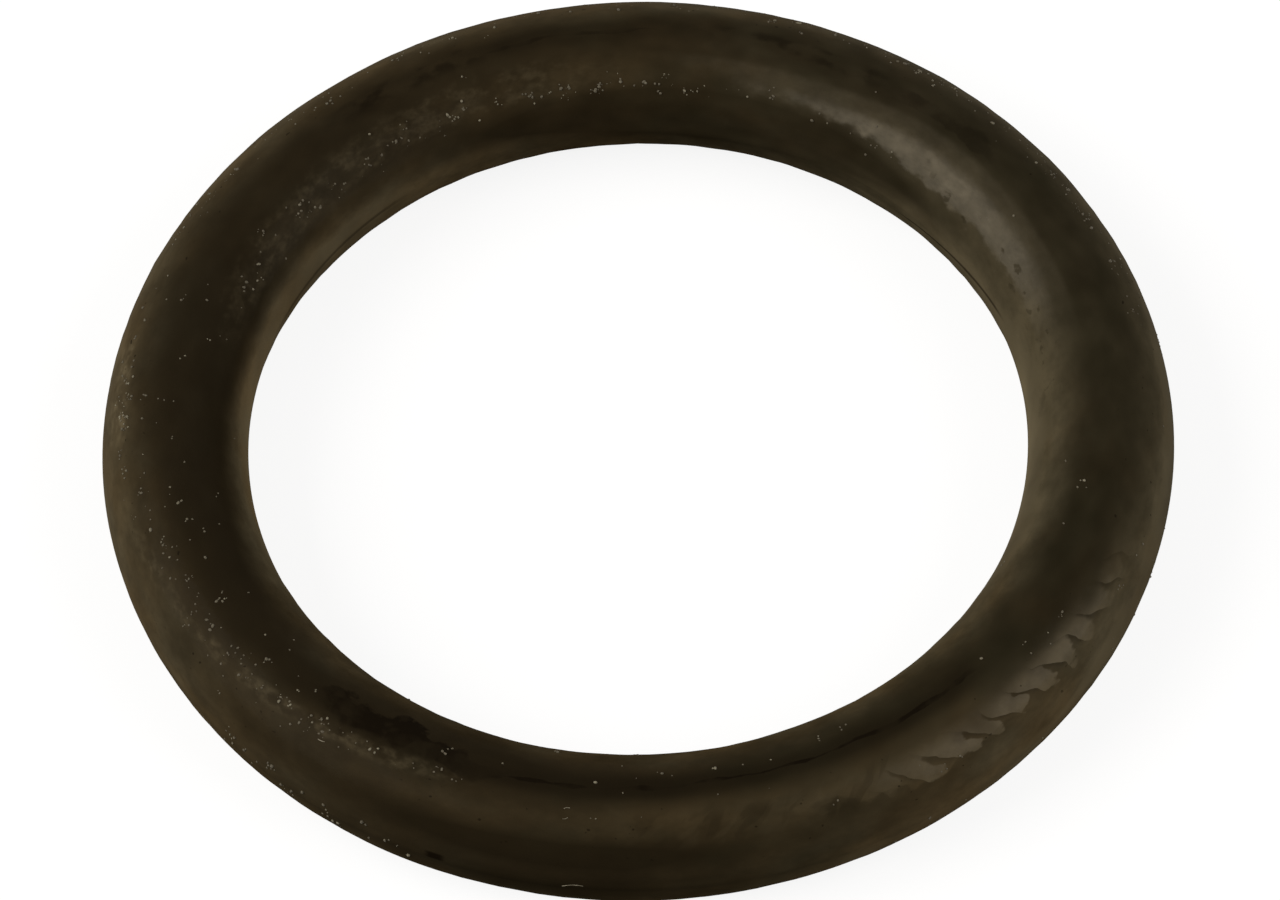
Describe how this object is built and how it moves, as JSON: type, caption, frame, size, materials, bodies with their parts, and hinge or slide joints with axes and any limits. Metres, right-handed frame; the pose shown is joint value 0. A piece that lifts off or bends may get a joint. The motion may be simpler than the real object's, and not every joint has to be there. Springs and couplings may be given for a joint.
{
  "type": "rubber o-ring",
  "caption": "Black rubber o-ring of round section, a loose seal that is squeezed in a groove between a shaft and a housing.",
  "frame": {"origin": "centre of the ring, on its parting plane, halfway up the section", "axes": "+Z along the ring's axis; the ring lies flat in the XY plane"},
  "size_m": [0.026, 0.026, 0.0034],
  "materials": {
    "black_rubber": "satin moulded rubber with a dull bloom, fine dust and a few smears"
  },
  "bodies": {
    "root": {"o_ring": "black_rubber"}
  },
  "joints": []
}
